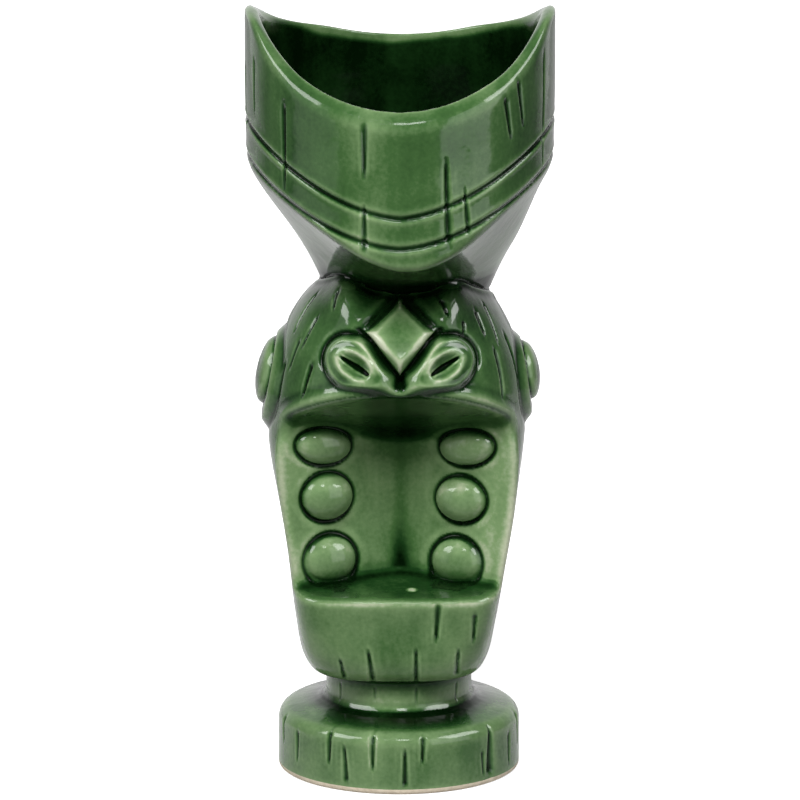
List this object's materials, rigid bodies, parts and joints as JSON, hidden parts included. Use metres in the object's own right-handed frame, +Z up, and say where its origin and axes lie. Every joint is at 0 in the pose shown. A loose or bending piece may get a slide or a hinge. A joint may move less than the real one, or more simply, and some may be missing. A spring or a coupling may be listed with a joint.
{
  "type": "tiki mug",
  "caption": "Tall glazed ceramic mug shaped as a carved tiki figure: round base, open toothed mouth, narrow neck and a flared crown with a saddle rim.",
  "frame": {"origin": "on the table, under the centre of the round foot and of the crown above it", "axes": "+Z up along the mug's height, the carved face looks along -Y, +X to the right as one faces the mug"},
  "size_m": [0.0806, 0.0806, 0.204],
  "materials": {
    "green_glaze": "glossy",
    "bare_clay": "matte"
  },
  "bodies": {
    "root": {"foot_ring": "bare_clay", "base_disc": "green_glaze", "stem": "green_glaze", "body_shell": "green_glaze", "lower_lip": "green_glaze", "upper_lip": "green_glaze", "tooth_left_top": "green_glaze", "tooth_left_middle": "green_glaze", "tooth_left_bottom": "green_glaze", "tooth_right_top": "green_glaze", "tooth_right_middle": "green_glaze", "tooth_right_bottom": "green_glaze", "nostril_left": "green_glaze", "nostril_right": "green_glaze", "nose_diamond": "green_glaze", "eye_left": "green_glaze", "eye_right": "green_glaze", "neck_collar": "green_glaze", "crown_funnel": "green_glaze", "crown_band": "green_glaze"}
  },
  "joints": []
}
